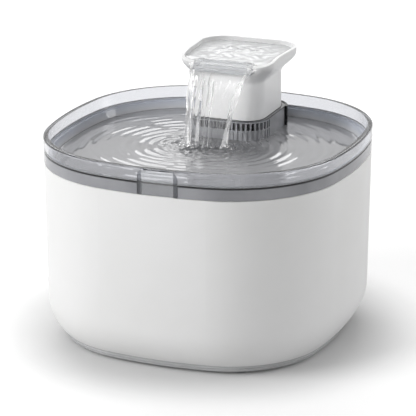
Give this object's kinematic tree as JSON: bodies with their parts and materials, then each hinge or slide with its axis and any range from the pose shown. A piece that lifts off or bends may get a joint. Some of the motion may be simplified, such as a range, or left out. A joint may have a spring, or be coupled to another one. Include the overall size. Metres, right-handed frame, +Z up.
{
  "type": "pet water fountain",
  "caption": "Square electric pet water fountain: white body, smoke clear tank, clear drinking tray and a white tower that pours a sheet of water back into the tray.",
  "frame": {"origin": "middle of the footprint on the surface that the feet stand on", "axes": "+Z up, the front with the tab looks along -Y, +X to the right seen from the front"},
  "size_m": [0.19, 0.19, 0.1643],
  "materials": {
    "white_plastic": "fine satin moulded",
    "grey_plastic": "satin moulded",
    "soft_rubber": "soft",
    "black_rubber": "soft",
    "screw_steel": "plated",
    "circuit_board": "solder mask",
    "copper_wire": "enamelled",
    "ferrite": "sintered",
    "plated_steel": "plated",
    "smoke_clear": "clear moulded",
    "clear_plastic": "clear moulded",
    "smoke_plastic": "translucent moulded",
    "black_gloss": "glossy",
    "pump_plastic": "moulded",
    "sponge_foam": "open cell foam",
    "core_steel": "laminated",
    "ceramic": "ground ceramic",
    "filter_fibre": "fibre and carbon"
  },
  "bodies": {
    "base": {"outer_housing": "white_plastic", "base_cover": "grey_plastic", "base_feet": "soft_rubber", "base_screws": "screw_steel", "control_board": "circuit_board", "transmitter_coil": "copper_wire", "coil_shield": "ferrite", "power_inlet": "plated_steel"},
    "tank": {"water_tank": "smoke_clear", "pump_feet": "soft_rubber", "pump_housing": "pump_plastic", "pump_volute": "pump_plastic", "inlet_strainer": "pump_plastic", "pump_sponge": "sponge_foam", "stator_core": "core_steel", "stator_winding": "copper_wire", "receiver_coil": "copper_wire", "impeller_shaft": "ceramic", "shaft_bearings": "soft_rubber", "riser_tube": "smoke_plastic", "riser_seal": "soft_rubber"},
    "rotor": {"impeller": "white_plastic", "rotor_magnet": "ferrite"},
    "tray": {"drinking_tray": "clear_plastic", "tray_gasket": "black_rubber", "front_tab": "clear_plastic", "filter_cup": "smoke_plastic"},
    "collar": {"drain_collar": "smoke_plastic", "collar_clip": "black_gloss", "filter_frame": "white_plastic", "filter_media": "filter_fibre"},
    "tower": {"spout_tower": "white_plastic", "spout_lip": "clear_plastic", "tower_pipe": "white_plastic", "flow_diffuser": "clear_plastic"}
  },
  "joints": [
    {"name": "tank_lift", "type": "slide", "parent": "base", "child": "tank", "axis": [0, 0, 1], "range_m": [0, 0.1]},
    {"name": "tray_lift", "type": "slide", "parent": "tank", "child": "tray", "axis": [0, 0, 1], "range_m": [0, 0.065]},
    {"name": "collar_lift", "type": "slide", "parent": "tray", "child": "collar", "axis": [0, 0, 1], "range_m": [0, 0.06]},
    {"name": "tower_lift", "type": "slide", "parent": "collar", "child": "tower", "axis": [0, 0, 1], "range_m": [0, 0.04]},
    {"name": "impeller_spin", "type": "hinge", "parent": "tank", "child": "rotor", "pos_m": [0, 0.0495, 0.04565], "axis": [0, 1, 0], "continuous": true}
  ]
}
